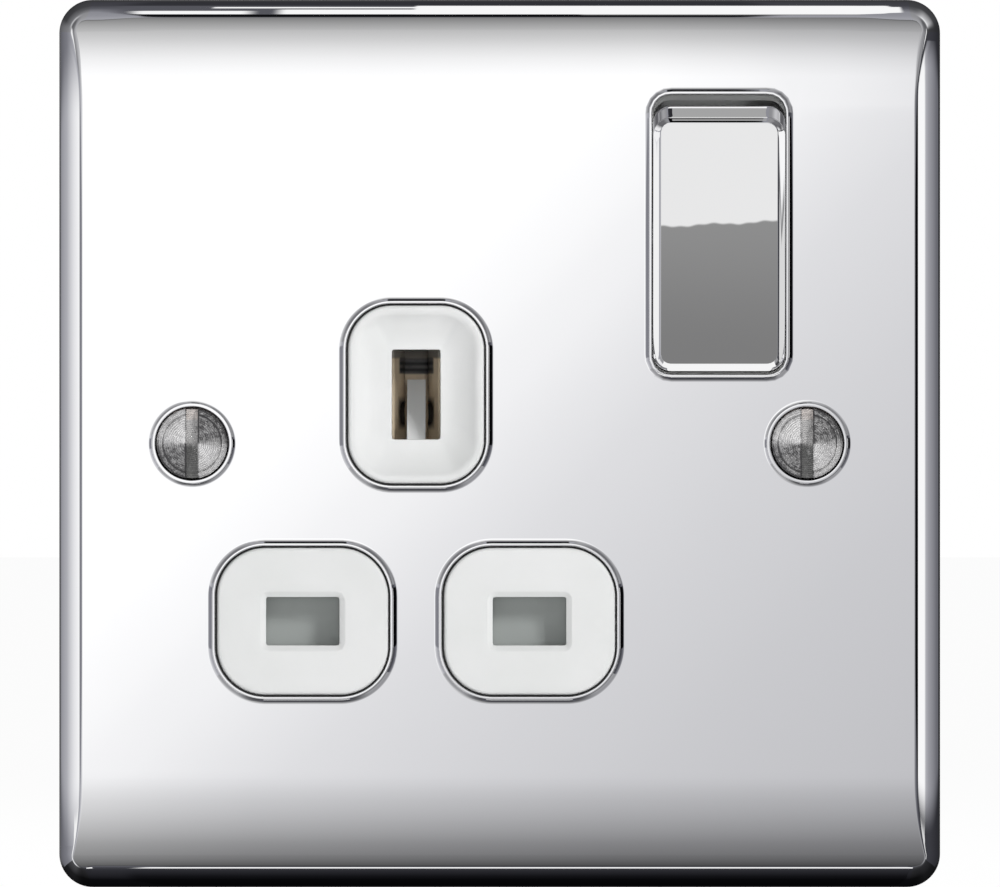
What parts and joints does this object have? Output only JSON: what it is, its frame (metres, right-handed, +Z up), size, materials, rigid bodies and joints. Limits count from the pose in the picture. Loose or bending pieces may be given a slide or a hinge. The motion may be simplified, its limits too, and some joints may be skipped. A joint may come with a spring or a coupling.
{
  "type": "switched wall socket",
  "caption": "Square polished metal wall plate with white inserts for a three-pin plug, a sliding shutter, and a rocker that switches the line contact.",
  "frame": {"origin": "midway between the two fixing screws, on the wall's surface", "axes": "+Z up the wall, +Y into the wall, +X to the right seen from the front"},
  "size_m": [0.0864, 0.0303, 0.0872],
  "materials": {
    "polished_chrome": "polished",
    "white_moulding": "gloss",
    "shutter_white": "satin",
    "nickel_screw": "worn",
    "zinc_screw": "satin",
    "spring_steel": "satin",
    "brass": "satin",
    "bronze": "satin",
    "silver_contact": "satin"
  },
  "bodies": {
    "housing": {"front_plate": "polished_chrome", "front_moulding": "white_moulding", "rear_moulding": "white_moulding", "fixing_screws": "nickel_screw", "moulding_screws": "zinc_screw", "earth_contact": "bronze", "neutral_contact": "bronze", "line_contact": "bronze", "line_feed": "brass", "earth_terminal": "brass", "neutral_terminal": "brass", "line_terminal": "brass", "terminal_screws": "zinc_screw", "earth_strap": "brass", "shutter_spring": "spring_steel", "fixed_contact_tip": "silver_contact"},
    "rocker": {"rocker_cap": "polished_chrome", "rocker_carrier": "white_moulding", "plunger_spring": "spring_steel"},
    "plunger": {"plunger": "shutter_white"},
    "contact_bar": {"moving_contact": "bronze", "moving_contact_tip": "silver_contact"},
    "shutter": {"shutter": "shutter_white"}
  },
  "joints": [
    {"name": "rocker_pivot", "type": "hinge", "parent": "housing", "child": "rocker", "pos_m": [0.0215, -0.003, 0.0205], "axis": [-1, 0, 0], "range_deg": [0, 14]},
    {"name": "contact_bar_pivot", "type": "hinge", "parent": "housing", "child": "contact_bar", "pos_m": [0.0215, 0.00771, 0.0205], "axis": [-1, 0, 0], "range_deg": [-20, 0]},
    {"name": "plunger_slide", "type": "slide", "parent": "rocker", "child": "plunger", "axis": [0, -0.9925, -0.1219], "range_m": [0, 0.0008], "stiffness_N_per_m": 300, "springref_m": -0.001, "deforming": ["plunger_spring"]},
    {"name": "shutter_slide", "type": "slide", "parent": "housing", "child": "shutter", "axis": [0, 0, -1], "range_m": [0, 0.0055], "stiffness_N_per_m": 60, "springref_m": -0.004, "deforming": ["shutter_spring"]}
  ],
  "couplings": [
    {"joint": "contact_bar_pivot", "follows": "rocker_pivot", "ratio": -1.4286}
  ]
}
